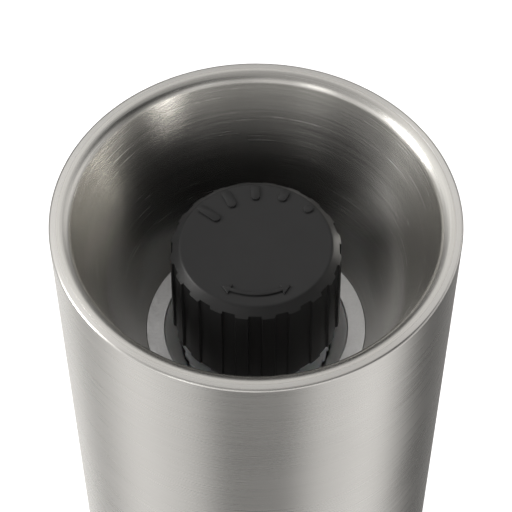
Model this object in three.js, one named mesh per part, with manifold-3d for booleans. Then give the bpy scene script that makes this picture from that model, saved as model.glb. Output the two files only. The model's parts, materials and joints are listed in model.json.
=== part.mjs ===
// Cordless burr coffee grinder, standing on its head with the coffee outlet up.
// Millimetres, +Z up, origin in the middle of the face it stands on.
// From the bottom: head (battery cap with push button, cells round the motor, gearbox),
// then the grinder body that pulls off it (bean hopper, ceramic burrs, bell outlet, setting knob).

import * as THREE from 'three';
import { mergeVertices } from 'three/addons/utils/BufferGeometryUtils.js';
import Module from 'manifold-3d';

const wasm = await Module();
wasm.setup();

// ---------------------------------------------------------------- driving dimensions

const BODY_R = 31;                 // both sleeves, outside
const HEIGHT = 190;                // standing face to outlet lip
const SHEET = 0.8;                 // steel sleeve and bell
const GAP = 0.3;                   // between pieces that touch
const BORE_R = BODY_R - SHEET;     // inside of both sleeves
const SEAM_Z = 95;                 // where the grinder body meets the head
const EDGE = 0.4;                  // rounding of the sleeves' outer edges

const BELL_EDGE_R = 29.6;          // inside of the lip's flat ring
const BELL_FILLET = 2;             // rolled edge into the bell
const BELL_TURN = 70;              // degrees from the flat lip to the bell's wall
const OUTLET_DEPTH = 28.9;         // lip to retaining ring
const OUTLET_Z = HEIGHT - OUTLET_DEPTH;
const OUTLET_R = 17.72;            // foot of the bell

const BURR_OUT_R = 17.4;           // outer burr, outside
const BURR_MOUTH_R = 12.5;         // outer burr's toothed opening
const BURR_BOTTOM_Z = 143.5;       // outer burr, bean side
const BURR_TOP_Z = OUTLET_Z - 0.5; // outer burr, outlet side
const INNER_BURR_Z = 141;
const INNER_BURR_HEIGHT = 17.2;

const KNOB_TOP_Z = HEIGHT - 6.96;
const KNOB_FOOT_Z = HEIGHT - 24.8;
const KNOB_FACE_R = 11.71;
const KNOB_TOP_R = 13.15;
const KNOB_FOOT_R = 13.4;
const KNOB_CHAMFER = 1.35;
const KNOB_RIBS = 20;
const KNOB_RIB_DEPTH = 0.35;

const SHAFT_FLAT = 3;              // hexagonal drive shaft, middle to flat
const SHAFT_Z = 93.2;              // lower end, in the drive socket
const THREAD_Z = 158.4;            // where the hexagon ends and the thread begins
const THREAD_R = 2.9;
const THREAD_END_Z = 176;

const MODULE = 0.7;                // gearbox teeth
const SUN_TEETH = 9;
const PLANET_TEETH = 15;
const RING_TEETH = SUN_TEETH + 2 * PLANET_TEETH;
const PLANETS = 3;
const PLANET_ORBIT_R = MODULE * (SUN_TEETH + PLANET_TEETH) / 2;
const GEAR_Z = 70.8;
const GEAR_HEIGHT = 8.8;
const PIN_R = 1.4;

const MOTOR_R = 12.2;
const MOTOR_Z = 35.2;
const MOTOR_TOP_Z = 66;
const ROTOR_SHAFT_R = 1;

const CELLS = 6;
const CELL_R = 7.1;
const CELL_LENGTH = 50.5;
const CELL_Z = 13.65;
const CELL_RING_R = 20.6;          // circle of the cells' centres

const BUTTON_R = 9;
const BUTTON_Z = 2.2;              // sunk below the standing face
const LUGS = 3;                    // bayonet lugs of the battery cap

const COARSE = 16;                 // sides of small round pieces
const MEDIUM = 24;
const ROUND = 32;
const FINE = 48;

// ---------------------------------------------------------------- materials

const steel = new THREE.MeshStandardMaterial({ color: 0xb9b7b3, metalness: 1, roughness: 0.32 });
const bellSteel = new THREE.MeshStandardMaterial({ color: 0x8f8d89, metalness: 1, roughness: 0.28 });
const darkSteel = new THREE.MeshStandardMaterial({ color: 0x8a8c8f, metalness: 1, roughness: 0.4 });
const ringGrey = new THREE.MeshStandardMaterial({ color: 0xa0a2a4, metalness: 0.4, roughness: 0.45 });
const ceramic = new THREE.MeshStandardMaterial({ color: 0xc3ccd4, metalness: 0, roughness: 0.35 });
const knobPlastic = new THREE.MeshStandardMaterial({ color: 0x2b2b2c, metalness: 0, roughness: 0.5 });
const casePlastic = new THREE.MeshStandardMaterial({ color: 0x1c1c1d, metalness: 0, roughness: 0.6 });
const gearPlastic = new THREE.MeshStandardMaterial({ color: 0xe4dfd0, metalness: 0, roughness: 0.45 });
const brass = new THREE.MeshStandardMaterial({ color: 0xc9a350, metalness: 1, roughness: 0.35 });
const rubber = new THREE.MeshStandardMaterial({ color: 0x141414, metalness: 0, roughness: 0.8 });
const magnetBlack = new THREE.MeshStandardMaterial({ color: 0x3a3a3c, metalness: 0.2, roughness: 0.7 });
const copper = new THREE.MeshStandardMaterial({ color: 0xb06a3c, metalness: 1, roughness: 0.4 });
const cellWrap = new THREE.MeshStandardMaterial({ color: 0x35506b, metalness: 0.1, roughness: 0.4 });
const boardGreen = new THREE.MeshStandardMaterial({ color: 0x2f5f3c, metalness: 0, roughness: 0.6 });

// ---------------------------------------------------------------- geometry helpers

const radians = THREE.MathUtils.degToRad;

function at(radius, angle) {
  return new THREE.Vector2(radius * Math.cos(angle), radius * Math.sin(angle));
}

// Equally spaced points of a circle about x, y.
function circle(radius, sides, x = 0, y = 0) {
  const points = [];
  for (let i = 0; i < sides; i += 1) {
    points.push(at(radius, 2 * Math.PI * i / sides).add(new THREE.Vector2(x, y)));
  }
  return points;
}

// Points of an arc in a profile, angles in degrees.
function arc(r, z, radius, from, to, steps) {
  const points = [];
  for (let i = 0; i <= steps; i += 1) {
    const angle = radians(from + (to - from) * i / steps);
    points.push([r + radius * Math.cos(angle), z + radius * Math.sin(angle)]);
  }
  return points;
}

// A profile of [radius, height] points turned about Z. It runs anticlockwise as seen with the axis
// on its left, from the axis back to the axis, or round to its first point.
function turned(profile, sides) {
  const onAxis = profile[0][0] === 0;
  const loop = onAxis ? profile : [...profile, profile[0]];
  const points = loop.map(([r, z]) => new THREE.Vector2(r, z));
  return new THREE.LatheGeometry(points, sides).rotateX(Math.PI / 2);
}

// A flat outline with holes, standing from one height to another.
function prism(outline, holes, from, to) {
  const shape = new THREE.Shape(outline);
  for (const hole of holes) {
    shape.holes.push(new THREE.Path(hole));
  }
  const settings = { depth: to - from, bevelEnabled: false };
  return new THREE.ExtrudeGeometry(shape, settings).translate(0, 0, from);
}

// Pushes every vertex of a turned solid in or out: change(angle, radius, z) gives the new radius.
function reshape(geometry, change) {
  const position = geometry.getAttribute('position');
  for (let i = 0; i < position.count; i += 1) {
    const x = position.getX(i);
    const y = position.getY(i);
    const radius = Math.hypot(x, y);
    if (radius > 1e-6) {
      const scale = change(Math.atan2(y, x), radius, position.getZ(i)) / radius;
      position.setXY(i, x * scale, y * scale);
    }
  }
  return geometry;
}

function solid(geometry) {
  const bare = geometry.index ? geometry.toNonIndexed() : geometry.clone();
  bare.deleteAttribute('normal');
  bare.deleteAttribute('uv');
  const merged = mergeVertices(bare, 1e-4);
  const mesh = new wasm.Mesh({
    numProp: 3,
    vertProperties: merged.getAttribute('position').array,
    triVerts: new Uint32Array(merged.index.array),
  });
  return new wasm.Manifold(mesh);
}

function geometryOf(manifold) {
  const mesh = manifold.getMesh();
  const geometry = new THREE.BufferGeometry();
  geometry.setAttribute('position', new THREE.BufferAttribute(mesh.vertProperties, 3));
  geometry.setIndex(new THREE.BufferAttribute(mesh.triVerts, 1));
  return geometry;
}

function joined(first, ...others) {
  return geometryOf(others.reduce((sum, other) => sum.add(solid(other)), solid(first)));
}

function cut(first, ...others) {
  return geometryOf(others.reduce((rest, other) => rest.subtract(solid(other)), solid(first)));
}

// Calls make(angle, index) for count equal steps round the axis.
function around(count, make, start = 0) {
  return Array.from({ length: count }, (_, i) => make(start + 2 * Math.PI * i / count, i));
}

// A piece of a flat ring, centred on an angle.
function sector(inner, outer, angle, halfWidth, from, to, steps = 4) {
  const outside = [];
  const inside = [];
  for (let i = 0; i <= steps; i += 1) {
    const a = angle + halfWidth * (2 * i / steps - 1);
    outside.push(at(outer, a));
    inside.unshift(at(inner, a));
  }
  return prism([...outside, ...inside], [], from, to);
}

// Gear outline: four points a tooth, thinner than half a pitch so that meshing teeth run clear.
function toothed(teeth, tip, root, firstTooth = 0) {
  const points = [];
  const pitch = 2 * Math.PI / teeth;
  for (let i = 0; i < teeth; i += 1) {
    const middle = (i + firstTooth) * pitch;
    points.push(at(root, middle - 0.29 * pitch));
    points.push(at(tip, middle - 0.11 * pitch));
    points.push(at(tip, middle + 0.11 * pitch));
    points.push(at(root, middle + 0.29 * pitch));
  }
  return points;
}

function pitchRadius(teeth) {
  return MODULE * teeth / 2;
}

function externalTeeth(teeth) {
  const radius = pitchRadius(teeth);
  return toothed(teeth, radius + 0.8 * MODULE, radius - 1.1 * MODULE);
}

function hexagon(toFlat) {
  return circle(toFlat / Math.cos(Math.PI / 6), 6);
}

class Helix extends THREE.Curve {
  constructor(radius, turns, from, to) {
    super();
    this.radius = radius;
    this.turns = turns;
    this.from = from;
    this.to = to;
  }

  getPoint(t) {
    const angle = 2 * Math.PI * this.turns * t;
    const z = this.from + (this.to - this.from) * t;
    return new THREE.Vector3(this.radius * Math.cos(angle), this.radius * Math.sin(angle), z);
  }
}

function coilSpring(radius, wire, turns, from, to) {
  const path = new Helix(radius, turns, from + wire, to - wire);
  const section = new THREE.Shape(circle(wire, 5));
  return new THREE.ExtrudeGeometry(section, { steps: turns * 10, extrudePath: path });
}

// Pan head on the seat, and the shank from there to the tip, whichever way up they are.
function screw(headR, headHeight, shankR, seatZ, tipZ) {
  const up = Math.sign(seatZ - tipZ);
  const topZ = seatZ + up * headHeight;
  const shank = [[0, tipZ], [shankR, tipZ], [shankR, seatZ]];
  const profile = [...shank, [headR, seatZ], [headR * 0.85, topZ], [0, topZ]];
  return turned(up > 0 ? profile : profile.reverse(), 8);
}

// ---------------------------------------------------------------- assembly

const grinder = new THREE.Group();

function add(name, geometry, material, x = 0, y = 0, turn = 0) {
  const mesh = new THREE.Mesh(geometry, material);
  mesh.name = name;
  mesh.position.set(x, y, 0);
  mesh.rotation.z = turn;
  grinder.add(mesh);
}

function addRing(name, count, radius, geometry, material, start = 0) {
  around(count, (angle, i) => {
    const place = at(radius, angle);
    add(`${name}_${i + 1}`, geometry, material, place.x, place.y, angle);
  }, start);
}

// ---------------------------------------------------------------- head: battery cap and button

const FOOT_R = 28.2;               // inside of the standing ring
const FOOT_SHEET = 1;
const CAP_R = 27.8;
const CAP_SKIRT_R = 27.4;
const LUG_R = 29.2;
const LUG_HALF = radians(8);
const LUG_START = radians(90);
const UNLOCK = radians(30);
const CAP_FACE_Z = 0.5;
const CAP_BACK_Z = 2.9;
const CAP_SKIRT_TOP_Z = 9.5;
const WELL_Z = 2.4;                // dished middle of the cap, round the button
const WELL_R = 11.2;
const WELL_EDGE_R = 14;
const GUIDE_Z = 5.5;               // end of the button's guide
const FLANGE_R = 10.4;             // the button's flange, behind the guide
const FLANGE_Z = GUIDE_Z + GAP;
const FLANGE_TOP_Z = FLANGE_Z + 1;
const STEM_TOP_Z = 8;
const STEM_R = 2;
const SWITCH_PIN_Z = 10.3;
const SWITCH_Z = 11.4;
const SWITCH_TOP_Z = 13.7;
const SWITCH_WIDTH = 6;
const BOARD_Z = SWITCH_TOP_Z + GAP;
const BOARD_SHEET = 1.2;

function headSleeve() {
  const tube = turned([
    [FOOT_R, 0], ...arc(BODY_R - EDGE, EDGE, EDGE, -90, 0, 2), [BODY_R, SEAM_Z],
    [BORE_R, SEAM_Z], [BORE_R, FOOT_SHEET], [FOOT_R, FOOT_SHEET],
  ], FINE);
  const notch = (angle) => sector(FOOT_R - 1, LUG_R + GAP, angle, LUG_HALF + radians(2), -1, FOOT_SHEET + 1);
  return cut(tube, ...around(LUGS, notch, LUG_START + UNLOCK));
}

function batteryCap() {
  const hole = BUTTON_R + GAP;
  const plate = turned([
    [hole, WELL_Z], [WELL_R, WELL_Z], [WELL_EDGE_R, CAP_FACE_Z], [CAP_R, CAP_FACE_Z],
    [CAP_R, CAP_BACK_Z - 0.1], [CAP_SKIRT_R, CAP_BACK_Z + GAP], [CAP_SKIRT_R, CAP_SKIRT_TOP_Z],
    [CAP_SKIRT_R - 1.6, CAP_SKIRT_TOP_Z], [CAP_SKIRT_R - 1.6, CAP_BACK_Z], [WELL_EDGE_R + 0.6, CAP_BACK_Z],
    [WELL_R + 0.4, GUIDE_Z], [hole, GUIDE_Z],
  ], ROUND);
  const lug = (angle) => sector(CAP_R - 1.4, LUG_R, angle, LUG_HALF, FOOT_SHEET + GAP, CAP_BACK_Z + 0.4);
  return joined(plate, ...around(LUGS, lug, LUG_START));
}

function pushButton() {
  return turned([
    [0, BUTTON_Z], [BUTTON_R - 0.5, BUTTON_Z], [BUTTON_R, BUTTON_Z + 0.5], [BUTTON_R, FLANGE_Z],
    [FLANGE_R, FLANGE_Z], [FLANGE_R, FLANGE_TOP_Z], [STEM_R, FLANGE_TOP_Z], [STEM_R, STEM_TOP_Z],
    [0, STEM_TOP_Z],
  ], MEDIUM);
}

function tactSwitch() {
  const body = new THREE.BoxGeometry(SWITCH_WIDTH, SWITCH_WIDTH, SWITCH_TOP_Z - SWITCH_Z);
  body.translate(0, 0, (SWITCH_Z + SWITCH_TOP_Z) / 2);
  return joined(body, prism(circle(1.6, 12), [], SWITCH_PIN_Z, SWITCH_Z + 0.6));
}

add('head_sleeve', headSleeve(), steel);
add('battery_cap', batteryCap(), casePlastic);
add('push_button', pushButton(), steel);
add('button_spring', coilSpring(5.4, 0.3, 3, FLANGE_TOP_Z + GAP, SWITCH_TOP_Z), darkSteel);
add('tact_switch', tactSwitch(), casePlastic);
add('switch_board', prism(circle(MOTOR_R, MEDIUM), [], BOARD_Z, BOARD_Z + BOARD_SHEET), boardGreen);

// ---------------------------------------------------------------- head: cells and motor

const TRAY_R = 29.6;
const TRAY_Z = 13.3;
const TRAY_TOP_Z = 64.4;
const CONTACT_SHEET = 1;
const END_BELL_Z = 33.6;
const END_BELL_PLUG_Z = 37;
const ROTOR_SHAFT_Z = 32.6;
const ROTOR_SHAFT_TOP_Z = 79.3;
const COMMUTATOR_R = 3.2;
const COMMUTATOR_Z = 38.2;
const COMMUTATOR_TOP_Z = 41.8;
const CORE_Z = 43;
const CORE_TOP_Z = 59;
const MAGNET_Z = 40;
const MAGNET_TOP_Z = 62;

function cellPlaces() {
  return around(CELLS, (angle) => at(CELL_RING_R, angle));
}

function batteryTray() {
  const bores = cellPlaces().map((place) => circle(CELL_R + 0.45, COARSE, place.x, place.y));
  return prism(circle(TRAY_R, ROUND), [circle(MOTOR_R + 0.4, MEDIUM), ...bores], TRAY_Z, TRAY_TOP_Z);
}

function contactPlate(from) {
  return prism(circle(TRAY_R - 0.6, ROUND), [circle(MOTOR_R + 0.5, MEDIUM)], from, from + CONTACT_SHEET);
}

function cell() {
  const end = CELL_Z + CELL_LENGTH;
  return turned([
    [0, CELL_Z], [CELL_R, CELL_Z], [CELL_R, end - 1.4], [2.7, end - 1.2], [2.7, end], [0, end],
  ], 12);
}

function motorCan() {
  const inside = MOTOR_R - SHEET;
  const hole = ROTOR_SHAFT_R + 0.4;
  return turned([
    [inside, MOTOR_Z], [MOTOR_R, MOTOR_Z], [MOTOR_R, MOTOR_TOP_Z], [hole, MOTOR_TOP_Z],
    [hole, MOTOR_TOP_Z - SHEET], [inside, MOTOR_TOP_Z - SHEET],
  ], MEDIUM);
}

function motorEndBell() {
  const plug = MOTOR_R - SHEET - GAP;
  const hole = ROTOR_SHAFT_R + 0.4;
  return turned([
    [hole, END_BELL_Z], [MOTOR_R, END_BELL_Z], [MOTOR_R, MOTOR_Z - GAP], [plug, MOTOR_Z - GAP],
    [plug, END_BELL_PLUG_Z], [hole, END_BELL_PLUG_Z],
  ], MEDIUM);
}

// Three mushroom-shaped poles round a bore: a narrow neck and a wide face on each.
function rotorCore() {
  const outline = around(3, (angle) => [
    at(3.6, angle - radians(28)), at(7, angle - radians(13)), at(7.6, angle - radians(48)),
    at(9, angle - radians(48)), at(9, angle - radians(16)), at(9, angle + radians(16)),
    at(9, angle + radians(48)), at(7.6, angle + radians(48)), at(7, angle + radians(13)),
    at(3.6, angle + radians(28)),
  ]).flat();
  return prism(outline, [circle(ROTOR_SHAFT_R + GAP, 12)], CORE_Z, CORE_TOP_Z);
}

function rotorShaft() {
  const r = ROTOR_SHAFT_R;
  return turned([
    [0, ROTOR_SHAFT_Z], [r, ROTOR_SHAFT_Z], [r, COMMUTATOR_Z], [COMMUTATOR_R, COMMUTATOR_Z],
    [COMMUTATOR_R, COMMUTATOR_TOP_Z], [r, COMMUTATOR_TOP_Z], [r, ROTOR_SHAFT_TOP_Z], [0, ROTOR_SHAFT_TOP_Z],
  ], 12);
}

add('battery_tray', batteryTray(), casePlastic);
add('contact_plate_cap_side', contactPlate(TRAY_Z - GAP - CONTACT_SHEET), brass);
add('contact_plate_motor_side', contactPlate(TRAY_TOP_Z + 0.4), brass);
addRing('battery_cell', CELLS, CELL_RING_R, cell(), cellWrap);
add('motor_can', motorCan(), darkSteel);
add('motor_end_bell', motorEndBell(), casePlastic);
for (const [name, angle] of [['right', 0], ['left', Math.PI]]) {
  const magnet = sector(MOTOR_R - 2.8, MOTOR_R - SHEET - GAP, angle, radians(62), MAGNET_Z, MAGNET_TOP_Z, 6);
  add(`stator_magnet_${name}`, magnet, magnetBlack);
}
add('rotor_core', rotorCore(), copper);
add('rotor_shaft', rotorShaft(), darkSteel);

// ---------------------------------------------------------------- head: gearbox

const PLATE_Z = 66.3;
const PLATE_TOP_Z = 68.8;
const RING_GEAR_Z = PLATE_TOP_Z + GAP;
const RING_GEAR_TOP_Z = 85.9;
const SUN_Z = 70;
const SUN_TOP_Z = 79;
const LID_Z = RING_GEAR_TOP_Z + GAP;
const LID_TOP_Z = 89.2;
const GEARBOX_R = 18;
const GEARBOX_SCREW_R = 16.3;      // circle of the gearbox screws
const SCREW_HOLE_R = 1.1;
const DECK_SCREW_R = 13.2;         // circle of the deck screws
const SCREWS = 3;
const SCREW_START = radians(60);
const BOSS_TOP_Z = 99.2;           // the lid's bosses, which carry the deck
const BUSH_R = 8.7;                // output bush, round the drive socket
const BUSH_TOP_Z = 92;
const CARRIER_Z = 80.2;
const CARRIER_TOP_Z = 83.2;
const CARRIER_R = 12;
const SOCKET_R = 6.5;
const SOCKET_Z = 92.5;
const SOCKET_TOP_Z = 103;

function screwHoles(ringR, holeR, start) {
  return around(SCREWS, (angle) => {
    const place = at(ringR, angle);
    return circle(holeR, 8, place.x, place.y);
  }, start);
}

function motorPlate() {
  const holes = screwHoles(GEARBOX_SCREW_R, SCREW_HOLE_R, 0);
  return prism(circle(TRAY_R, ROUND), [circle(3, 12), ...holes], PLATE_Z, PLATE_TOP_Z);
}

function ringGear() {
  const radius = pitchRadius(RING_TEETH);
  const teeth = toothed(RING_TEETH, radius - 0.8 * MODULE, radius + 1.1 * MODULE, 0.5);
  const holes = screwHoles(GEARBOX_SCREW_R, SCREW_HOLE_R, 0);
  return prism(circle(GEARBOX_R, ROUND), [teeth, ...holes], RING_GEAR_Z, RING_GEAR_TOP_Z);
}

function sunGear() {
  return prism(externalTeeth(SUN_TEETH), [circle(ROTOR_SHAFT_R + GAP, 8)], SUN_Z, SUN_TOP_Z);
}

// An odd number of teeth: one tooth faces the ring gear, and a gap faces the sun's tooth.
function planetGear() {
  return prism(externalTeeth(PLANET_TEETH), [circle(PIN_R + GAP, 8)], GEAR_Z, GEAR_Z + GEAR_HEIGHT);
}

function planetCarrier() {
  const plate = turned([
    [0, CARRIER_Z], [CARRIER_R, CARRIER_Z], [CARRIER_R, CARRIER_TOP_Z], [SOCKET_R, CARRIER_TOP_Z],
    [SOCKET_R, SOCKET_TOP_Z], [0, SOCKET_TOP_Z],
  ], MEDIUM);
  const pins = around(PLANETS, (angle) => {
    const place = at(PLANET_ORBIT_R, angle);
    return prism(circle(PIN_R, 8, place.x, place.y), [], GEAR_Z - 0.2, CARRIER_Z + 1);
  });
  const socket = prism(hexagon(SHAFT_FLAT + GAP), [], SOCKET_Z, SOCKET_TOP_Z + 1);
  return cut(joined(plate, ...pins), socket);
}

function gearboxLid() {
  const holes = screwHoles(GEARBOX_SCREW_R, SCREW_HOLE_R, 0);
  const plate = prism(circle(GEARBOX_R, ROUND), [circle(BUSH_R + GAP, MEDIUM), ...holes], LID_Z, LID_TOP_Z);
  const bossAt = (radius, from, to) => around(SCREWS, (angle) => {
    const place = at(DECK_SCREW_R, angle);
    return prism(circle(radius, 12, place.x, place.y), [], from, to);
  }, SCREW_START);
  return cut(joined(plate, ...bossAt(3, LID_Z, BOSS_TOP_Z)), ...bossAt(1.5, LID_Z - 1, BOSS_TOP_Z + 1));
}

function outputBush() {
  return prism(circle(BUSH_R, MEDIUM), [circle(SOCKET_R + GAP, MEDIUM)], LID_Z, BUSH_TOP_Z);
}

add('motor_plate', motorPlate(), darkSteel);
add('ring_gear', ringGear(), gearPlastic);
add('sun_gear', sunGear(), brass);
addRing('planet_gear', PLANETS, PLANET_ORBIT_R, planetGear(), gearPlastic);
add('planet_carrier', planetCarrier(), darkSteel);
add('gearbox_lid', gearboxLid(), gearPlastic);
add('output_bush', outputBush(), brass);
const gearboxScrew = screw(1.6, 1, 0.8, LID_TOP_Z + GAP, PLATE_Z + 0.7);
addRing('gearbox_screw', SCREWS, GEARBOX_SCREW_R, gearboxScrew, darkSteel);

// ---------------------------------------------------------------- head: deck

const DECK_R = 29.8;
const DECK_TOP_Z = 101.5;
const DECK_UNDER_Z = 99.5;
const DECK_SKIRT_Z = 90;
const DECK_SKIRT_R = 27.4;         // inside of the skirt
const SOCKET_HOLE_R = 7;
const GROOVE_R = 28.5;             // bottom of the seal's groove
const O_RING_Z = 98.4;
const O_RING_R = 0.6;

function headDeck() {
  const grooveZ = O_RING_Z - O_RING_R - GAP;
  const grooveTopZ = O_RING_Z + O_RING_R + GAP;
  const disc = turned([
    [SOCKET_HOLE_R, DECK_UNDER_Z], [DECK_SKIRT_R, DECK_UNDER_Z], [DECK_SKIRT_R, DECK_SKIRT_Z],
    [DECK_R, DECK_SKIRT_Z], [DECK_R, grooveZ], [GROOVE_R, grooveZ], [GROOVE_R, grooveTopZ],
    [DECK_R, grooveTopZ], [DECK_R, DECK_TOP_Z - EDGE], [DECK_R - EDGE, DECK_TOP_Z],
    [SOCKET_HOLE_R, DECK_TOP_Z],
  ], ROUND);
  const holes = screwHoles(DECK_SCREW_R, 1.5, SCREW_START);
  return cut(disc, ...holes.map((hole) => prism(hole, [], DECK_UNDER_Z - 1, DECK_TOP_Z + 1)));
}

add('head_deck', headDeck(), casePlastic);
add('o_ring', turned(arc(DECK_R - 0.4, O_RING_Z, O_RING_R, 0, 300, 5), ROUND), rubber);
const deckScrew = screw(2.7, 1.6, 1.2, DECK_TOP_Z + GAP, LID_TOP_Z + 1.8);
addRing('deck_screw', SCREWS, DECK_SCREW_R, deckScrew, darkSteel, SCREW_START);

// ---------------------------------------------------------------- grinder body: sleeve, bell, hopper

function outerSleeve() {
  return turned([
    [BORE_R, SEAM_Z + GAP], [BODY_R, SEAM_Z + GAP], ...arc(BODY_R - EDGE, HEIGHT - EDGE, EDGE, 0, 90, 2),
    [BELL_EDGE_R + GAP, HEIGHT], [BELL_EDGE_R + GAP, HEIGHT - 1], [BORE_R, HEIGHT - 1.6],
  ], FINE);
}

function bell() {
  const middleZ = HEIGHT - BELL_FILLET;
  const edge = (radius, from, to) => arc(BELL_EDGE_R, middleZ, radius, from, to, 3);
  const foot = OUTLET_Z - GAP;
  const slope = (edge(BELL_FILLET, 90, 90 + BELL_TURN)[3][0] - OUTLET_R) / (middleZ - OUTLET_Z);
  const footR = OUTLET_R - slope * GAP;
  return turned([
    [footR, foot], [footR + SHEET / Math.sin(radians(BELL_TURN)), foot],
    ...edge(BELL_FILLET - SHEET, 90 + BELL_TURN, 90), ...edge(BELL_FILLET, 90, 90 + BELL_TURN),
    [OUTLET_R, OUTLET_Z],
  ], FINE);
}

const LINER_R = 29.8;
const LINER_SHEET = 1.2;
const LINER_Z = 102.2;
const LINER_END_Z = 141.2;
const FUNNEL_Z = 131;              // where the wall turns in towards the burrs
const THROAT_R = 15;
const THROAT_Z = 139.2;
const SCREW_TIP_Z = 135;
const CUP_Z = 141.6;               // burr carrier: flange, floor and cup round the outer burr
const CUP_FLOOR_Z = 143.2;
const FLANGE_END_Z = 144.4;
const CUP_TOP_Z = 160.2;
const CUP_R = 20.2;
const CUP_BORE_R = BURR_OUT_R + 0.4;
const CARRIER_SCREW_R = 25.5;      // circle of the screws that hold the burr carrier

function hopperLiner() {
  const funnel = turned([
    [LINER_R - LINER_SHEET, LINER_Z], [LINER_R, LINER_Z], [LINER_R, LINER_END_Z], [THROAT_R, LINER_END_Z],
    [THROAT_R, THROAT_Z], [LINER_R - LINER_SHEET, FUNNEL_Z],
  ], ROUND);
  const holes = screwHoles(CARRIER_SCREW_R, SCREW_HOLE_R, SCREW_START);
  return cut(funnel, ...holes.map((hole) => prism(hole, [], SCREW_TIP_Z - 0.4, LINER_END_Z + 1)));
}

function burrCarrier() {
  const cup = turned([
    [THROAT_R, CUP_Z], [LINER_R, CUP_Z], [LINER_R, FLANGE_END_Z], [CUP_R, FLANGE_END_Z],
    [CUP_R, CUP_TOP_Z], [CUP_BORE_R, CUP_TOP_Z], [CUP_BORE_R, CUP_FLOOR_Z], [THROAT_R, CUP_FLOOR_Z],
  ], ROUND);
  const holes = screwHoles(CARRIER_SCREW_R, SCREW_HOLE_R, SCREW_START);
  return cut(cup, ...holes.map((hole) => prism(hole, [], CUP_Z - 1, FLANGE_END_Z + 1)));
}

const SPIDER_Z = 106;
const SPIDER_TOP_Z = 109;
const SPIDER_R = 28.3;
const SPIDER_ARMS = 3;
const ARM_WIDTH = 4;
const SHAFT_BUSH_R = 4.6;

function shaftSpider() {
  const rim = prism(circle(SPIDER_R, ROUND), [circle(SPIDER_R - 1.7, ROUND)], SPIDER_Z, SPIDER_TOP_Z);
  const hub = prism(circle(7, MEDIUM), [], SPIDER_Z, SPIDER_TOP_Z);
  const reach = SPIDER_R - 0.9;
  const arms = around(SPIDER_ARMS, (angle) => {
    const arm = new THREE.BoxGeometry(reach, ARM_WIDTH, SPIDER_TOP_Z - SPIDER_Z);
    return arm.translate(reach / 2, 0, (SPIDER_Z + SPIDER_TOP_Z) / 2).rotateZ(angle);
  });
  const bore = prism(circle(SHAFT_BUSH_R + GAP, COARSE), [], SPIDER_Z - 1, SPIDER_TOP_Z + 1);
  return cut(joined(rim, hub, ...arms), bore);
}

function shaftBush() {
  return prism(circle(SHAFT_BUSH_R, COARSE), [circle(3.8, COARSE)], SPIDER_Z - 1, SPIDER_TOP_Z + 1);
}

add('outer_sleeve', outerSleeve(), steel);
add('bell', bell(), bellSteel);
add('hopper_liner', hopperLiner(), casePlastic);
add('shaft_spider', shaftSpider(), casePlastic);
add('shaft_bush', shaftBush(), brass);
add('burr_carrier', burrCarrier(), casePlastic);
const carrierScrew = screw(2.2, 1.5, 0.8, FLANGE_END_Z + GAP, SCREW_TIP_Z);
addRing('carrier_screw', SCREWS, CARRIER_SCREW_R, carrierScrew, darkSteel, SCREW_START);

// ---------------------------------------------------------------- burrs, shaft and knob

const OUTER_TEETH = 24;
const INNER_TEETH = 16;
const FLUTES = 4;
const FLUTE_END_Z = 152;           // below it the coarse flutes deepen, above it the teeth are fine
const RIM_R = 14.8;                // outer burr's raised rim, inside the retaining ring
const RIM_HEIGHT = 0.8;

// 0 to 1 and back over each tooth, leaning with height.
function toothWave(teeth, angle, lean) {
  const phase = (teeth * angle + lean) / (2 * Math.PI);
  return 0.5 - 0.5 * Math.cos(2 * Math.PI * phase);
}

function outerBurr() {
  const ring = turned([
    [10.6, BURR_BOTTOM_Z], [BURR_OUT_R, BURR_BOTTOM_Z], [BURR_OUT_R, BURR_TOP_Z - RIM_HEIGHT],
    [RIM_R, BURR_TOP_Z - RIM_HEIGHT], [RIM_R, BURR_TOP_Z], [BURR_MOUTH_R, BURR_TOP_Z - 2.5], [11.6, 151],
  ], OUTER_TEETH * 3);
  return reshape(ring, (angle, radius, z) => {
    const inside = radius < BURR_MOUTH_R + 0.1;
    return inside ? radius - 0.45 * toothWave(OUTER_TEETH, angle, 0.4 * (z - BURR_BOTTOM_Z)) : radius;
  });
}

function innerBurr() {
  const top = INNER_BURR_Z + INNER_BURR_HEIGHT;
  const cone = turned([
    [0, INNER_BURR_Z], [5.4, INNER_BURR_Z], [7.4, 146], [9.5, 151.5], [11.5, top - 1], [10.8, top], [0, top],
  ], FINE);
  const toothedCone = reshape(cone, (angle, radius, z) => {
    const flute = THREE.MathUtils.clamp((FLUTE_END_Z - z) / 6, 0, 1);
    const coarse = 1.3 * flute * toothWave(FLUTES, angle, 0.25 * (z - INNER_BURR_Z));
    const fine = 0.35 * (1 - flute) * toothWave(INNER_TEETH, angle, 0);
    return radius - coarse - fine;
  });
  return cut(toothedCone, prism(hexagon(SHAFT_FLAT + GAP), [], INNER_BURR_Z - 1, top + 1));
}

function retainingRing() {
  const inner = RIM_R + GAP;
  const outer = OUTLET_R - 0.27;
  return turned([
    [inner, OUTLET_Z - 1], [outer, OUTLET_Z - 1], [outer, OUTLET_Z], [inner + 0.1, OUTLET_Z],
    [inner, OUTLET_Z - 0.1],
  ], FINE);
}

function driveShaft() {
  const hex = prism(hexagon(SHAFT_FLAT), [], SHAFT_Z, THREAD_Z);
  return joined(hex, prism(circle(THREAD_R, COARSE), [], THREAD_Z - 1, THREAD_END_Z));
}

const HUB_FOOT_Z = INNER_BURR_Z + INNER_BURR_HEIGHT + GAP;
const HUB_R = 7.2;
const INSERT_R = 4.6;
const INSERT_Z = HUB_FOOT_Z + 0.5;
const INSERT_TOP_Z = 172;

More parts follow.
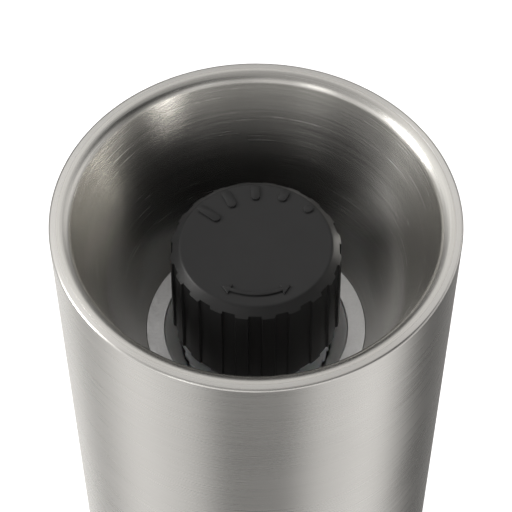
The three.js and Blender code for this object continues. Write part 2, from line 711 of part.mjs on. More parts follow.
// A rib and the valley beside it take four steps round the knob; a valley begins at the -Y direction.
function knob() {
  const inside = KNOB_FOOT_R - 1.8;
  const roofZ = KNOB_TOP_Z - 2.4;
  const cavity = INSERT_R + GAP;
  const cap = turned([
    [0, THREAD_END_Z + 1.5], [cavity, THREAD_END_Z + 1.5], [cavity, HUB_FOOT_Z], [HUB_R, HUB_FOOT_Z],
    [HUB_R, roofZ], [inside - 0.2, roofZ], [inside, KNOB_FOOT_Z], [KNOB_FOOT_R, KNOB_FOOT_Z],
    [KNOB_TOP_R, KNOB_TOP_Z - KNOB_CHAMFER], [KNOB_FACE_R, KNOB_TOP_Z], [0, KNOB_TOP_Z],
  ], KNOB_RIBS * 4);
  return reshape(cap, (angle, radius) => {
    const step = Math.round(KNOB_RIBS * 4 * (angle + Math.PI / 2) / (2 * Math.PI));
    const between = ((step % 4) + 4) % 4 < 2;
    return radius > KNOB_FACE_R + 0.5 && between ? radius - KNOB_RIB_DEPTH : radius;
  });
}

function threadedInsert() {
  return prism(circle(INSERT_R, COARSE), [circle(THREAD_R + GAP, COARSE)], INSERT_Z, INSERT_TOP_Z);
}

add('outer_burr', outerBurr(), ceramic);
add('inner_burr', innerBurr(), ceramic);
add('retaining_ring', retainingRing(), ringGrey);
add('drive_shaft', driveShaft(), darkSteel);
add('burr_spring', coilSpring(5, 0.5, 5, SPIDER_TOP_Z + 1.4, INNER_BURR_Z - 0.4), darkSteel);
add('grind_knob', knob(), knobPlastic);
add('threaded_insert', threadedInsert(), brass);

export default grinder;
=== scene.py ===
import json
import math

import bmesh
import bpy
from mathutils import Matrix, Vector


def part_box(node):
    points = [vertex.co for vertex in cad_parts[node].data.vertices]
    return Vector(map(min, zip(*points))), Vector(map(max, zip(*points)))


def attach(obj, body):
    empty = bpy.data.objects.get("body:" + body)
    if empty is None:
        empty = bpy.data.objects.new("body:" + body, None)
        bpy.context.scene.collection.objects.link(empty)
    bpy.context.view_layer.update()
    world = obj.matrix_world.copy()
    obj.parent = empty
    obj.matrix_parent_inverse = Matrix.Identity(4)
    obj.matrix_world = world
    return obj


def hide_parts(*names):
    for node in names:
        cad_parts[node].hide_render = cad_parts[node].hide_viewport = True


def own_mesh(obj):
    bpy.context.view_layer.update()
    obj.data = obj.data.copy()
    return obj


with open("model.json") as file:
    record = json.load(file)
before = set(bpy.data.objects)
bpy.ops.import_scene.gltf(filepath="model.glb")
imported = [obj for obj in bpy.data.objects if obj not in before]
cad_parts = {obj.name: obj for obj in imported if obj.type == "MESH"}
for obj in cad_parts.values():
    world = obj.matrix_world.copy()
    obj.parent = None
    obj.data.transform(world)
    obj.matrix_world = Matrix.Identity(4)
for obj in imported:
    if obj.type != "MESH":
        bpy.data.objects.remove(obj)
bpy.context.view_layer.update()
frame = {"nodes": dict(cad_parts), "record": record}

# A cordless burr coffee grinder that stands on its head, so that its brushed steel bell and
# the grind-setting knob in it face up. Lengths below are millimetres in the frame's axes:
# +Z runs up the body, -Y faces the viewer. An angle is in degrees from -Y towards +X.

MM = 0.001


# ------------------------------------------------------ sizes, from the frame


def low(node):
    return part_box(node)[0].z / MM


def high(node):
    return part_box(node)[1].z / MM


def reach(node):
    """Largest distance of a turned CAD node from the Z axis, along X."""
    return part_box(node)[1].x / MM


BODY_R = reach("outer_sleeve")
RIM_Z = high("outer_sleeve")
SHEET = 0.8                     # thickness of the sleeves and of the bell
BORE_R = BODY_R - SHEET
EDGE = 0.4                      # rounding of the sleeves' outer edges
SMALL_EDGE = 0.15               # rounding where the two sleeves meet
LIP_R = BODY_R - 1.1            # where the sleeve's lip meets the bell's
HAIRLINE = 0.002                # half the joint between the two
LIP_CORNER = 0.006              # broken corners along that joint
BELL_EDGE_R = BODY_R - 1.4
BELL_FILLET = 2.0
BELL_TURN = 70.0                # from the flat lip to the bell's wall
OUTLET_Z = high("retaining_ring")
OUTLET_R = reach("retaining_ring") + 0.27

KNOB_TOP_Z = RIM_Z - 6.96
KNOB_FOOT_Z = low("retaining_ring") + 5.1
KNOB_FACE_R = 11.71
KNOB_TOP_R = 13.15
KNOB_FOOT_R = 13.4
KNOB_CHAMFER = 1.35
KNOB_RIBS = 20
RIB_DEPTH = 0.34
VALLEY_MIDDLE = -0.5            # angle of the valley that faces the viewer
VALLEY_HALF = 4.5
WALL_HALF = 0.35                # half the angle that a rib's wall takes

STEPS = 240                     # sides of a large turned piece
SMALL_STEPS = 48
SHARP = math.radians(32)        # a steeper edge is shaded as an edge
SAME_POINT = 1e-7               # metres, for what a boolean leaves


# ------------------------------------------------------ meshes


def place(radius, angle, z):
    """The point at this radius, angle in degrees and height, in metres."""
    turn = math.radians(angle)
    return Vector((radius * math.sin(turn), -radius * math.cos(turn), z)) * MM


def arc(r, z, radius, start, end, steps):
    """Points of an arc in a profile. Its angles are in degrees, from the radius axis."""
    points = []
    for i in range(steps + 1):
        turn = math.radians(start + (end - start) * i / steps)
        points.append((r + radius * math.cos(turn), z + radius * math.sin(turn)))
    return points


def held(profile, closed=True, near=0.15):
    """The profile with a point close to both ends of each long stretch, which keeps its shading
    flat."""
    points = []
    count = len(profile)
    for i, here in enumerate(profile):
        points.append(here)
        if i == count - 1 and not closed:
            continue
        there = profile[(i + 1) % count]
        length = math.dist(here, there)
        if length > 6 * near:
            for share in (near / length, 1 - near / length):
                points.append(tuple(a + (b - a) * share for a, b in zip(here, there)))
    return points


def smooth(mesh):
    """Smooth faces, with sharp edges kept sharp."""
    for face in mesh.faces:
        face.smooth = True
    for edge in mesh.edges:
        edge.smooth = len(edge.link_faces) == 2 and edge.calc_face_angle() < SHARP


def finished(mesh, name, body, slot, node, material=None):
    """Makes the object that replaces a CAD node, and rides it on its body. Its material is named
    like its slot unless another is given."""
    bmesh.ops.recalc_face_normals(mesh, faces=mesh.faces)
    smooth(mesh)
    data = bpy.data.meshes.new(name)
    mesh.to_mesh(data)
    mesh.free()
    piece = bpy.data.objects.new(name, data)
    bpy.context.scene.collection.objects.link(piece)
    piece.data.materials.append(materials[material or slot])
    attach(piece, body)
    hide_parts(node)
    return piece


def turned(profile, angles=STEPS, reshape=None, centre=(0, 0)):
    """Turns a profile of (radius, height) points about Z: a closed loop, or from the axis to the
    axis. reshape(angle, radius, height) gives a point's radius at that angle."""
    if isinstance(angles, int):
        angles = [360 * i / angles for i in range(angles)]
    middle = Vector((*centre, 0)) * MM
    mesh = bmesh.new()
    rings = []
    for radius, z in profile:
        if radius == 0:
            rings.append([mesh.verts.new(place(0, 0, z) + middle)] * len(angles))
            continue
        ring = []
        for angle in angles:
            r = reshape(angle, radius, z) if reshape else radius
            ring.append(mesh.verts.new(place(r, angle, z) + middle))
        rings.append(ring)
    if profile[0][0] != 0:
        rings.append(rings[0])
    for lower, upper in zip(rings, rings[1:]):
        for i in range(len(angles)):
            j = (i + 1) % len(angles)
            corners = dict.fromkeys((lower[i], lower[j], upper[j], upper[i]))
            if len(corners) > 2:
                mesh.faces.new(corners)
    return mesh


def slab(outline, bottom, top, bevel=0.0):
    """A flat outline of (x, y) points from bottom to top, with its upper edge rounded."""
    mesh = bmesh.new()
    base = [mesh.verts.new(Vector((x, y, bottom)) * MM) for x, y in outline]
    face = mesh.faces.new(base)
    made = bmesh.ops.extrude_face_region(mesh, geom=[face])
    upper = [v for v in made["geom"] if isinstance(v, bmesh.types.BMVert)]
    for vert in upper:
        vert.co.z = top * MM
    if bevel:
        rim = [e for e in mesh.edges if all(v in upper for v in e.verts)]
        bmesh.ops.bevel(
            mesh, geom=rim, offset=bevel * MM, segments=2, profile=0.5, affect="EDGES",
        )
    bmesh.ops.recalc_face_normals(mesh, faces=mesh.faces)
    return mesh


def smoothstep(low_end, high_end, value):
    share = min(1.0, max(0.0, (value - low_end) / (high_end - low_end)))
    return share * share * (3 - 2 * share)


def merged(meshes):
    """One mesh that holds all of these."""
    whole = bmesh.new()
    for mesh in meshes:
        data = bpy.data.meshes.new("tool")
        mesh.to_mesh(data)
        mesh.free()
        whole.from_mesh(data)
        bpy.data.meshes.remove(data)
    return whole


def combine(piece, tool_mesh, operation):
    """Joins the tool mesh to a finished piece, or cuts it out."""
    data = bpy.data.meshes.new("tool")
    tool_mesh.to_mesh(data)
    tool_mesh.free()
    tool = bpy.data.objects.new("tool", data)
    bpy.context.scene.collection.objects.link(tool)
    modifier = piece.modifiers.new("combine", "BOOLEAN")
    modifier.operation = operation
    modifier.solver = "EXACT"
    modifier.object = tool
    graph = bpy.context.evaluated_depsgraph_get()
    result = bpy.data.meshes.new_from_object(piece.evaluated_get(graph))
    piece.modifiers.clear()
    mesh = bmesh.new()
    mesh.from_mesh(result)
    bmesh.ops.remove_doubles(mesh, verts=mesh.verts, dist=SAME_POINT)
    bmesh.ops.dissolve_degenerate(mesh, edges=mesh.edges, dist=SAME_POINT)
    smooth(mesh)
    mesh.to_mesh(piece.data)
    mesh.free()
    bpy.data.meshes.remove(result)
    bpy.data.objects.remove(tool)


# ------------------------------------------------------ materials


def new_node(tree, kind, inputs=None, **settings):
    """A node with its settings. Each input is a value, or a socket to link to it."""
    made = tree.nodes.new(kind)
    for key, value in settings.items():
        setattr(made, key, value)
    for key, value in (inputs or {}).items():
        if isinstance(value, bpy.types.NodeSocket):
            tree.links.new(value, made.inputs[key])
        else:
            made.inputs[key].default_value = value
    return made


def math_node(tree, operation, first, second=0.0, third=0.0):
    inputs = {0: first, 1: second, 2: third}
    return new_node(tree, "ShaderNodeMath", inputs, operation=operation).outputs[0]


def noise(tree, vector, scale, detail=3.0, roughness=0.55):
    """Noise from 0 to 1 over a vector in metres. scale is (x, y, z), in waves per metre."""
    inputs = {0: vector, 1: scale}
    stretched = new_node(tree, "ShaderNodeVectorMath", inputs, operation="MULTIPLY").outputs[0]
    inputs = {"Vector": stretched, "Scale": 1.0, "Detail": detail, "Roughness": roughness}
    return new_node(tree, "ShaderNodeTexNoise", inputs).outputs["Fac"]


def map_range(tree, value, start, end, first, last, kind="LINEAR"):
    inputs = {
        "Value": value, "From Min": start, "From Max": end, "To Min": first, "To Max": last,
    }
    made = new_node(tree, "ShaderNodeMapRange", inputs, interpolation_type=kind)
    return made.outputs["Result"]


def spread(tree, value, smallest, largest):
    """Takes noise, most of which lies between 0.3 and 0.7, to the given range."""
    return map_range(tree, value, 0.3, 0.7, smallest, largest)


def shade(tree, value, color, darker, lighter):
    """The colour times a factor that the value moves from darker to lighter."""
    factor = spread(tree, value, darker, lighter)
    inputs = {0: color, "Scale": factor}
    return new_node(tree, "ShaderNodeVectorMath", inputs, operation="SCALE").outputs[0]


def bump(tree, height, distance, strength=1.0, normal=None):
    inputs = {"Height": height, "Distance": distance, "Strength": strength}
    if normal:
        inputs["Normal"] = normal
    return new_node(tree, "ShaderNodeBump", inputs).outputs["Normal"]


def new_material(name):
    material = bpy.data.materials.new(name)
    material.use_nodes = True
    tree = material.node_tree
    tree.nodes.clear()
    shader = new_node(tree, "ShaderNodeBsdfPrincipled")
    output = new_node(tree, "ShaderNodeOutputMaterial")
    tree.links.new(shader.outputs[0], output.inputs[0])
    coordinates = new_node(tree, "ShaderNodeTexCoord").outputs["Object"]
    return material, tree, shader, coordinates


def brushed(tree, coordinates):
    """Coordinates that change slowly along a circle round Z, and fast across it."""
    parts = new_node(tree, "ShaderNodeSeparateXYZ", {0: coordinates})
    x, y, z = parts.outputs
    flat = new_node(tree, "ShaderNodeCombineXYZ", {0: x, 1: y})
    radius = new_node(tree, "ShaderNodeVectorMath", {0: flat.outputs[0]}, operation="LENGTH")
    across = math_node(tree, "ADD", z, radius.outputs["Value"])
    return new_node(tree, "ShaderNodeCombineXYZ", {0: x, 1: y, 2: across}).outputs[0]


# Waves per metre in the brushed steel, along the brushing (x, y) and across it.
FINE_LINES = (60, 60, 6500)
STROKES = (38, 38, 2100)
BANDS = (16, 16, 420)
STAINS = (60, 60, 60)
ANISOTROPY = 0.8


def brushed_steel(name, color, roughness, streak, groove):
    """Steel brushed round its axis: fine lines and wider strokes, in its gloss, colour and
    surface. streak is how far they vary the colour, and groove the wider strokes' depth in
    metres."""
    material, tree, shader, coordinates = new_material(name)
    lines = brushed(tree, coordinates)
    fine = noise(tree, lines, FINE_LINES, 2)
    strokes = noise(tree, lines, STROKES, 3, 0.65)
    bands = noise(tree, lines, BANDS, 3)
    patches = noise(tree, coordinates, STAINS, 3)
    both = math_node(tree, "MULTIPLY_ADD", strokes, 0.6, math_node(tree, "MULTIPLY", fine, 0.4))
    tone = math_node(tree, "MULTIPLY_ADD", both, 0.85, math_node(tree, "MULTIPLY", bands, 0.15))
    streaked = shade(tree, tone, color, 1 - streak, 1 + streak)
    tree.links.new(streaked, shader.inputs["Base Color"])
    rough = math_node(tree, "MULTIPLY_ADD", both, 0.7, math_node(tree, "MULTIPLY", patches, 0.3))
    gloss = spread(tree, rough, roughness * 0.84, roughness * 1.18)
    tree.links.new(gloss, shader.inputs["Roughness"])
    scratched = bump(tree, fine, groove * 0.5)
    grooved = bump(tree, strokes, groove, 1.0, scratched)
    tree.links.new(grooved, shader.inputs["Normal"])
    tangent = new_node(tree, "ShaderNodeTangent", direction_type="RADIAL", axis="Z")
    tree.links.new(tangent.outputs[0], shader.inputs["Tangent"])
    shader.inputs["Metallic"].default_value = 1.0
    shader.inputs["Anisotropic"].default_value = ANISOTROPY
    shader.inputs["Anisotropic Rotation"].default_value = 0.25     # a quarter turn
    return material


def moulded(name, color, roughness, grain=0.000006, specular=0.5):
    """Moulded plastic: a fine spark-eroded grain, and faint patches in gloss and colour."""
    material, tree, shader, coordinates = new_material(name)
    fine = noise(tree, coordinates, (5200, 5200, 5200), 2)
    patches = noise(tree, coordinates, (140, 140, 90), 4)
    tree.links.new(shade(tree, patches, color, 0.9, 1.1), shader.inputs["Base Color"])
    gloss = spread(tree, patches, roughness * 0.9, roughness * 1.12)
    tree.links.new(gloss, shader.inputs["Roughness"])
    tree.links.new(bump(tree, fine, grain), shader.inputs["Normal"])
    shader.inputs["Specular IOR Level"].default_value = specular
    return material


def metal(name, color, roughness, marks=(900, 900, 900), grain=0.000003):
    """Plain metal: tool marks at the given scale, and slight tarnish in patches."""
    material, tree, shader, coordinates = new_material(name)
    tool = noise(tree, coordinates, marks, 3)
    patches = noise(tree, coordinates, (170, 170, 170), 4)
    tree.links.new(shade(tree, patches, color, 0.95, 1.03), shader.inputs["Base Color"])
    gloss = spread(tree, tool, roughness * 0.8, roughness * 1.25)
    tree.links.new(gloss, shader.inputs["Roughness"])
    tree.links.new(bump(tree, tool, grain), shader.inputs["Normal"])
    shader.inputs["Metallic"].default_value = 1.0
    return material


CERAMIC_GRAIN = 0.000004         # metres, like all grains and grooves here
ZIRCONIA_IOR = 2.15


def ceramic(name, color):
    """Fired and ground zirconia: a very fine grain under a half gloss, with a little light
    passing in."""
    material, tree, shader, coordinates = new_material(name)
    fine = noise(tree, coordinates, (3800, 3800, 3800), 3)
    patches = noise(tree, coordinates, (220, 220, 220), 3)
    tree.links.new(shade(tree, patches, color, 0.93, 1.05), shader.inputs["Base Color"])
    tree.links.new(spread(tree, fine, 0.3, 0.46), shader.inputs["Roughness"])
    tree.links.new(bump(tree, fine, CERAMIC_GRAIN), shader.inputs["Normal"])
    shader.inputs["IOR"].default_value = ZIRCONIA_IOR
    shader.inputs["Subsurface Weight"].default_value = 0.08
    shader.inputs["Subsurface Scale"].default_value = 0.0008
    return material


BAND_STEP = 0.00002


def striped(name, first, second, period, roughness, metallic=0.0, duty=0.5):
    """Thin bands across Z, as on a laminated core or a wrapped cell, over a fine grain."""
    material, tree, shader, coordinates = new_material(name)
    z = new_node(tree, "ShaderNodeSeparateXYZ", {0: coordinates}).outputs[2]
    phase = math_node(tree, "FRACT", math_node(tree, "DIVIDE", z, period))
    band = math_node(tree, "GREATER_THAN", phase, duty)
    colors = {0: band, 6: (*first, 1.0), 7: (*second, 1.0)}     # 6 and 7 are the colour inputs
    mix = new_node(tree, "ShaderNodeMix", colors, data_type="RGBA")
    tree.links.new(mix.outputs[2], shader.inputs["Base Color"])
    grain = noise(tree, coordinates, (1500, 1500, 1500), 3)
    gloss = spread(tree, grain, roughness * 0.85, roughness * 1.2)
    tree.links.new(gloss, shader.inputs["Roughness"])
    height = math_node(tree, "ADD", band, grain)
    tree.links.new(bump(tree, height, BAND_STEP), shader.inputs["Normal"])
    shader.inputs["Metallic"].default_value = metallic
    return material


STEEL = (0.63, 0.62, 0.6)
BELL_STEEL = (0.6, 0.59, 0.565)
materials = {}
for make, name, *values in (
    (brushed_steel, "sleeve_steel", STEEL, 0.28, 0.05, 0.000002),
    (brushed_steel, "bell_steel", BELL_STEEL, 0.25, 0.12, 0.000006),
    (metal, "dark_steel", (0.52, 0.53, 0.54), 0.3),
    (metal, "ring_grey", (0.78, 0.78, 0.785), 0.5, (2600, 2600, 2600), 0.000001),
    (ceramic, "ceramic", (0.84, 0.84, 0.835)),
    (ceramic, "ceramic_cone", (0.8, 0.84, 0.88)),
    (moulded, "knob_plastic", (0.024, 0.024, 0.0245), 0.36, 0.000005, 0.22),
    (moulded, "case_plastic", (0.016, 0.016, 0.017), 0.5),
    (moulded, "gear_plastic", (0.72, 0.69, 0.6), 0.4),
    (metal, "brass", (0.72, 0.5, 0.2), 0.3),
    (moulded, "rubber", (0.012, 0.012, 0.012), 0.7, 0.00001, 0.3),
    (moulded, "magnet", (0.04, 0.04, 0.043), 0.6, 0.00001),
    (striped, "copper", (0.7, 0.3, 0.14), (0.3, 0.3, 0.32), 0.0005, 0.4, 1.0),
    (striped, "cell_wrap", (0.03, 0.09, 0.17), (0.5, 0.5, 0.52), 0.0505, 0.35, 0.0, 0.8),
    (moulded, "board_green", (0.03, 0.13, 0.05), 0.45, 0.00002),
):
    materials[name] = make(name, *values)


# ------------------------------------------------------ outside: sleeves and bell


def outer_sleeve():
    foot = low("outer_sleeve")
    profile = [
        (BORE_R, foot + 0.2), (BORE_R + SMALL_EDGE, foot),
        *arc(BODY_R - SMALL_EDGE, foot + SMALL_EDGE, SMALL_EDGE, -90, 0, 4),
        *arc(BODY_R - EDGE, RIM_Z - EDGE, EDGE, 0, 90, 10),
        (LIP_R + HAIRLINE + LIP_CORNER, RIM_Z), (LIP_R + HAIRLINE, RIM_Z - LIP_CORNER),
        (LIP_R + HAIRLINE, RIM_Z - 1),
        (BORE_R, RIM_Z - 1.6),
    ]
    mesh = turned(held(profile))
    finished(mesh, "outer_sleeve_shell", "grinder_body", "sleeve_steel", "outer_sleeve")


def bell():
    middle = RIM_Z - BELL_FILLET
    turn = 90 + BELL_TURN
    back = LIP_R - HAIRLINE
    foot = OUTLET_Z - 0.25
    inner_edge = arc(BELL_EDGE_R, middle, BELL_FILLET, 90, turn, 18)
    outer_edge = arc(BELL_EDGE_R, middle, BELL_FILLET - SHEET, turn, 90, 9)
    thick = SHEET / math.sin(math.radians(BELL_TURN))
    profile = [
        (OUTLET_R, foot + 0.1), (OUTLET_R + 0.1, foot), (OUTLET_R + thick, foot),
        *outer_edge, (back, RIM_Z - SHEET), (back, RIM_Z - LIP_CORNER),
        (back - LIP_CORNER, RIM_Z), *inner_edge,
    ]
    mesh = turned(held(profile))
    finished(mesh, "bell_shell", "grinder_body", "bell_steel", "bell")


outer_sleeve()
bell()

# ------------------------------------------------------ grind-setting knob

HUB_R = 7.2
CAVITY_R = 4.9
KNOB_SHELL = 2.4                # thickness of its face
MARKS = 5
MARKS_MIDDLE = 180.5            # angle of the middle mark
MARK_SPACING = 25.5
MARK_WIDTH = 1.4
MARK_REACH = 2.75               # between the centres of the longest mark's ends
MARK_STEP = 0.62                # by which each is shorter than the last
MARK_OUTER_R = 10.65            # centres of the marks' outer round ends
MARK_HEIGHT = 0.32
ARROW_R = 9.5
ARROW_HALF = 24.0               # half the angle of the arrow's band
ARROW_WIDTH = 0.6
ARROW_HEAD = 9.0                # angle that each head takes
ARROW_HEAD_HALF = 0.9           # half of a head's width


def knob_angles():
    """Columns close together at each rib's walls, and a few across each rib and valley."""
    away = [2.2, 3.9, VALLEY_HALF - WALL_HALF, 4.38, 4.62, VALLEY_HALF + WALL_HALF, 5.1, 7.0]
    offsets = [-a for a in reversed(away)] + [0.0] + away + [9.0]
    pitch = 360 / KNOB_RIBS
    return [VALLEY_MIDDLE + pitch * k + offset for k in range(KNOB_RIBS) for offset in offsets]


def knob_radius(angle, radius, z):
    """The ribs: valleys cut straight down the side, which run out in the chamfer."""
    if radius < KNOB_FACE_R + 0.2:
        return radius
    pitch = 360 / KNOB_RIBS
    offset = abs((angle - VALLEY_MIDDLE + pitch / 2) % pitch - pitch / 2)
    valley = 1 - smoothstep(VALLEY_HALF - WALL_HALF, VALLEY_HALF + WALL_HALF, offset)
    slope = (KNOB_TOP_R - KNOB_FOOT_R) / (KNOB_TOP_Z - KNOB_CHAMFER - KNOB_FOOT_Z)
    side = KNOB_FOOT_R + slope * (z - KNOB_FOOT_Z)
    return min(radius, side - RIB_DEPTH * valley)


def scale_mark(index):
    """A raised bar that points to the knob's middle."""
    angle = MARKS_MIDDLE - MARK_SPACING * (index - (MARKS - 1) / 2)
    inner_r = MARK_OUTER_R - MARK_REACH + MARK_STEP * index
    half = MARK_WIDTH / 2
    outline = []
    for centre, start in ((MARK_OUTER_R, 0), (inner_r, 180)):
        for i in range(11):
            turn = math.radians(start + 18 * i)
            along = centre + half * math.sin(turn)
            across = half * math.cos(turn)
            outline.append((along, across))
    turn = math.radians(angle - 90)
    c, s = math.cos(turn), math.sin(turn)
    return [(x * c - y * s, x * s + y * c) for x, y in outline]


def arrow_outline():
    """A curved arrow with a head at both ends, for the way that the knob turns."""
    steps = 16
    angles = [ARROW_HALF * (2 * i / steps - 1) for i in range(steps + 1)]
    half = ARROW_WIDTH / 2
    outer = [(ARROW_R + half, a) for a in angles]
    inner = [(ARROW_R - half, a) for a in reversed(angles)]
    right = [
        (ARROW_R + ARROW_HEAD_HALF, ARROW_HALF), (ARROW_R, ARROW_HALF + ARROW_HEAD),
        (ARROW_R - ARROW_HEAD_HALF, ARROW_HALF),
    ]
    left = [(r, -a) for r, a in reversed(right)]
    return [tuple(place(r, a, 0).xy / MM) for r, a in outer + right + inner + left]


def grind_knob():
    top = KNOB_TOP_Z
    chamfer_z = top - KNOB_CHAMFER
    foot = KNOB_FOOT_Z
    roof = top - KNOB_SHELL
    cavity_z = high("drive_shaft") + 1.5
    hub_foot = low("grind_knob")
    chamfer = [
        (KNOB_TOP_R + (KNOB_FACE_R - KNOB_TOP_R) * t, chamfer_z + KNOB_CHAMFER * t)
        for t in (0.0, 0.06, 0.13, 0.2, 0.24, 0.3, 0.5, 0.78)
    ]
    edge = [
        (KNOB_FACE_R + 0.16, top - 0.15), (KNOB_FACE_R + 0.06, top - 0.075),
        (KNOB_FACE_R - 0.05, top - 0.025),
    ]
    side = [
        (KNOB_FOOT_R + (KNOB_TOP_R - KNOB_FOOT_R) * t, foot + (chamfer_z - foot) * t)
        for t in (0.015, 0.05, 0.35, 0.65, 0.97)
    ]
    profile = [
        (0, cavity_z), (CAVITY_R, cavity_z), (CAVITY_R, hub_foot + 0.3),
        (CAVITY_R + 0.3, hub_foot), (HUB_R - 0.3, hub_foot), (HUB_R, hub_foot + 0.3),
        (HUB_R, roof), (KNOB_FOOT_R - 2.0, roof), (KNOB_FOOT_R - 1.8, foot + 0.1),
        (KNOB_FOOT_R - 1.7, foot), (KNOB_FOOT_R - 0.2, foot), (KNOB_FOOT_R - 0.06, foot + 0.06),
        *side, *chamfer, *edge, (KNOB_FACE_R - 0.2, top), (KNOB_FACE_R - 0.4, top),
        (MARK_OUTER_R - 5, top), (0, top),
    ]
    mesh = turned(profile, knob_angles(), knob_radius)
    knob = finished(mesh, "grind_knob_cap", "knob", "knob_plastic", "grind_knob")
    outlines = [scale_mark(i) for i in range(MARKS)] + [arrow_outline()]
    marks = merged(slab(outline, top - 0.3, top + MARK_HEIGHT, 0.08) for outline in outlines)
    combine(knob, marks, "UNION")


grind_knob()

# ------------------------------------------------------ burrs and the ring that holds them

OUTER_TEETH = 48
MOUTH_R = 12.5
RIM_R = 14.8
RIM_HEIGHT = 0.8
TOOTH_DEPTH = 0.2
TOOTH_LEAN = 9                  # degrees, over LEAN_HEIGHT
LEAN_HEIGHT = 5
TOOTH_RISE = 0.8                # share of the pitch
CONE_R = 12.15                  # rim of the inner burr
CONE_FOOT_R = 5.4
HEX_R = 3.3                     # across its bore, from the middle to a flat
FLUTES = 4
FLUTE_DEPTH = 1.3
FLUTE_FOOT_Z = 141
FLUTE_END_Z = 152               # the flutes fade out below it, over FLUTE_FADE
FLUTE_FADE = 6
INNER_TEETH = 36
INNER_TOOTH_DEPTH = 0.4


def retaining_ring():
    z = OUTLET_Z
    inner, outer = RIM_R + 0.02, OUTLET_R - 0.015
    profile = [
        (inner, z - 1), (outer, z - 1), *arc(outer - 0.03, z - 0.03, 0.03, 0, 90, 4),
        *arc(inner + 0.15, z - 0.15, 0.15, 90, 180, 4),
    ]
    mesh = turned(held(profile, near=0.1), STEPS)
    finished(mesh, "retaining_ring_top", "grinder_body", "ring_grey", "retaining_ring")


def outer_burr_radius(angle, radius, z):
    """Ground teeth that lean with height: a slow rise and a steep fall over each pitch."""
    if radius > MOUTH_R + 0.3:
        return radius
    lean = TOOTH_LEAN * (z - low("outer_burr")) / LEAN_HEIGHT
    phase = ((angle + lean) * OUTER_TEETH / 360) % 1
    tooth = phase / TOOTH_RISE if phase < TOOTH_RISE else (1 - phase) / (1 - TOOTH_RISE)
    return radius - TOOTH_DEPTH * tooth


def outer_burr():
    bottom, top = low("outer_burr"), high("outer_burr")
    outer = reach("outer_burr")
    cone = [(RIM_R - 0.3 - 0.46 * i, top - 0.1 - 0.48 * i) for i in range(5)]
    throat = [
        (MOUTH_R, top - 2.5), (MOUTH_R - 0.15, top - 3.2), (12.1, top - 5.5), (11.6, 151.0),
        (11.1, 147.0),
    ]
    profile = [
        (10.6, bottom), (outer, bottom), (outer, top - RIM_HEIGHT), (RIM_R, top - RIM_HEIGHT),
        (RIM_R, top - 0.12), (RIM_R - 0.12, top), *cone[:4], *throat,
    ]
    mesh = turned(profile, 6 * OUTER_TEETH, outer_burr_radius)
    finished(mesh, "outer_burr_ring", "grinder_body", "ceramic", "outer_burr")


def inner_burr_radius(angle, radius, z):
    """Coarse helical flutes at the bean side, and fine teeth at the outlet side."""
    flute = min(1.0, max(0.0, (FLUTE_END_Z - z) / FLUTE_FADE))
    rise = z - FLUTE_FOOT_Z
    coarse = 0.5 - 0.5 * math.cos(math.radians(FLUTES * angle + 14 * rise))
    fine = ((angle + 2 * rise) * INNER_TEETH / 360) % 1
    return radius - FLUTE_DEPTH * flute * coarse - INNER_TOOTH_DEPTH * (1 - flute) * fine


def inner_burr():
    bottom, top = low("inner_burr"), high("inner_burr")
    side = [
        (CONE_FOOT_R + (CONE_R - CONE_FOOT_R) * (i / 24) ** 0.9,
         bottom + (top - 0.6 - bottom) * (i / 24))
        for i in range(25)
    ]

    def shape(angle, radius, z):
        if radius < 4:
            return HEX_R / math.cos(math.radians((angle + 30) % 60 - 30))
        return inner_burr_radius(angle, radius, z)

    profile = [
        (HEX_R, bottom), *side, (CONE_R - 0.05, top - 0.25), (CONE_R - 0.3, top - 0.05),
        (11, top), (HEX_R, top),
    ]
    mesh = turned(profile, 288, shape)
    finished(mesh, "inner_burr_cone", "moving_burr", "ceramic", "inner_burr", "ceramic_cone")


retaining_ring()
outer_burr()
inner_burr()

# ------------------------------------------------------ head: sleeve, cap and button

FOOT_R = 28.2                   # inside of the standing ring
NOTCH_R = 29.5
NOTCH_HALF = 10.0
LUG_R = 29.2
LUG_HALF = 8.0
LUGS = 3
LUG_PITCH = 360 / LUGS
NOTCH_START = 90
LUG_BOTTOM_Z = 1.25
LUG_TOP_Z = 3.4
BUTTON_HOLE_R = 9.3
CAP_R = 27.8


def near_lug(angle, start, half):
    """True within half of one of the three lugs or notches."""
    offset = abs((angle - start + LUG_PITCH / 2) % LUG_PITCH - LUG_PITCH / 2)
    return offset < half


def lug_angles(start, half):
    """Even steps, and a pair of steps close together at each side of a lug or notch."""
    even = [360 * i / STEPS for i in range(STEPS)]
    edges = [start + 120 * k + side * half for k in range(LUGS) for side in (-1, 1)]
    return sorted(set(even + [(e + d) % 360 for e in edges for d in (-0.05, 0.05)]))


def head_sleeve():
    top = high("head_sleeve")

    def notched(angle, radius, z):
        at_notch = radius < FOOT_R + 0.2 and near_lug(angle, NOTCH_START, NOTCH_HALF)
        return NOTCH_R if at_notch else radius

    profile = [
        (FOOT_R + 0.1, 0), *arc(BODY_R - EDGE, EDGE, EDGE, -90, 0, 8),
        *arc(BODY_R - SMALL_EDGE, top - SMALL_EDGE, SMALL_EDGE, 0, 90, 4),
        (BORE_R + SMALL_EDGE, top), (BORE_R, top - 0.2), (BORE_R, 1), (FOOT_R + 0.1, 1),
        (FOOT_R, 0.9), (FOOT_R, 0.1),
    ]
    mesh = turned(held(profile), lug_angles(NOTCH_START, NOTCH_HALF), notched)
    finished(mesh, "head_sleeve_shell", "head", "sleeve_steel", "head_sleeve")


